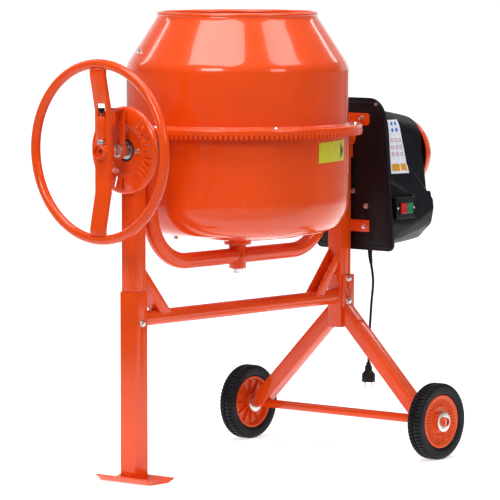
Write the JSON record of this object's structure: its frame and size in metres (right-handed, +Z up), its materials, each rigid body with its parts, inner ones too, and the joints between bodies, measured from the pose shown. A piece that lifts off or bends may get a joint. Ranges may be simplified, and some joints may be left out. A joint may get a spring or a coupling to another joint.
{
  "type": "concrete mixer",
  "caption": "Tilting-drum electric concrete mixer on a two-post frame with a foot, a pair of wheels, a handwheel and a boxed motor drive.",
  "frame": {"origin": "on the floor, at the middle of the machine's bounding box; the drum stands about 69 mm towards -X of it", "axes": "+Z up; +X from the handwheel post to the motor post, along the tilt axis; -Y is the side with the switch, to which the drum tips"},
  "size_m": [1.2337, 0.7426, 1.2055],
  "materials": {
    "orange_paint": "gloss orange enamel",
    "black_plastic": "moulded, lightly grained",
    "black_rubber": "soft matt",
    "tyre_rubber": "solid tyre rubber",
    "zinc": "bright zinc plate",
    "steel": "machined steel",
    "bearing_steel": "ground",
    "nylon": "moulded nylon",
    "cast_aluminium": "as cast",
    "gear_iron": "greased",
    "motor_grey": "grey enamel",
    "red_button": "moulded",
    "green_button": "moulded",
    "cord_pvc": "smooth sheath"
  },
  "bodies": {
    "frame": {"left_post": "orange_paint", "leg_sleeve": "orange_paint", "foot_plate": "orange_paint", "cross_tube": "orange_paint", "gussets": "orange_paint", "right_post": "orange_paint", "bearing_housings": "orange_paint", "pivot_bushes": "nylon", "wheel_bracket": "orange_paint", "front_leg": "orange_paint", "rear_leg": "orange_paint", "axle_tube": "orange_paint", "axle_washers": "zinc", "cotter_pins": "zinc", "frame_bolts": "zinc", "index_disc": "orange_paint", "back_plate": "black_plastic", "housing_cover": "black_plastic", "end_cover": "orange_paint", "mount_brackets": "orange_paint", "motor_body": "motor_grey", "capacitor": "cast_aluminium", "switch_box": "black_plastic", "cord_gland": "black_plastic", "cord": "cord_pvc", "plug": "cord_pvc", "drive_belt": "black_rubber"},
    "yoke": {"yoke_tube": "orange_paint", "spindle_boss": "orange_paint", "spindle_bearings": "bearing_steel", "left_pivot_shaft": "steel", "right_pivot_tube": "orange_paint", "shaft_bearings": "bearing_steel", "pivot_nut": "zinc", "drive_arm": "orange_paint"},
    "handwheel": {"handwheel_hoop": "orange_paint", "handwheel_strap": "orange_paint", "handwheel_hub": "orange_paint", "plunger_sleeve": "orange_paint", "plunger_nut": "zinc"},
    "plunger": {"plunger_pin": "steel", "plunger_knob": "black_plastic"},
    "drum": {"drum_bowl": "orange_paint", "drum_cone": "orange_paint", "ring_gear": "orange_paint", "drum_bolts": "zinc", "mixing_blades": "orange_paint", "drum_flange": "orange_paint", "drum_spindle": "steel", "spindle_nut": "zinc"},
    "pinion_shaft": {"pinion": "gear_iron", "drive_shaft": "steel", "large_pulley": "cast_aluminium"},
    "motor_rotor": {"small_pulley": "steel"},
    "wheel_left": {"tyre_left": "tyre_rubber", "rim_left": "orange_paint"},
    "wheel_right": {"tyre_right": "tyre_rubber", "rim_right": "orange_paint"},
    "start_button": {"start_button": "green_button"},
    "stop_button": {"stop_button": "red_button"}
  },
  "joints": [
    {"name": "tilt", "type": "hinge", "parent": "frame", "child": "yoke", "pos_m": [-0.06935, 0, 0.858], "axis": [1, 0, 0], "range_deg": [0, 150]},
    {"name": "drum_spin", "type": "hinge", "parent": "yoke", "child": "drum", "pos_m": [-0.06935, 0, 0.75], "axis": [0, 0, 1], "continuous": true},
    {"name": "pinion_spin", "type": "hinge", "parent": "yoke", "child": "pinion_shaft", "pos_m": [0.25265, 0, 0.858], "axis": [1, 0, 0], "continuous": true},
    {"name": "motor_spin", "type": "hinge", "parent": "frame", "child": "motor_rotor", "pos_m": [0.41065, -0.042, 0.794], "axis": [1, 0, 0], "continuous": true},
    {"name": "handwheel_pull", "type": "slide", "parent": "yoke", "child": "handwheel", "axis": [-1, 0, 0], "range_m": [0, 0.012], "stiffness_N_per_m": 1500, "springref_m": -0.02},
    {"name": "plunger_lift", "type": "slide", "parent": "handwheel", "child": "plunger", "axis": [0, 0, 1], "range_m": [0, 0.008], "stiffness_N_per_m": 800, "springref_m": -0.01},
    {"name": "wheel_left_spin", "type": "hinge", "parent": "frame", "child": "wheel_left", "pos_m": [0.36065, 0.333, 0.103], "axis": [0, 1, 0], "continuous": true},
    {"name": "wheel_right_spin", "type": "hinge", "parent": "frame", "child": "wheel_right", "pos_m": [0.36065, -0.333, 0.103], "axis": [0, 1, 0], "continuous": true},
    {"name": "start_press", "type": "slide", "parent": "frame", "child": "start_button", "axis": [0, 1, 0], "range_m": [0, 0.003], "stiffness_N_per_m": 600, "springref_m": -0.002},
    {"name": "stop_press", "type": "slide", "parent": "frame", "child": "stop_button", "axis": [0, 1, 0], "range_m": [0, 0.003], "stiffness_N_per_m": 600, "springref_m": -0.002}
  ],
  "couplings": [
    {"joint": "pinion_spin", "follows": "drum_spin", "ratio": -11.143},
    {"joint": "motor_spin", "follows": "drum_spin", "ratio": -52}
  ]
}
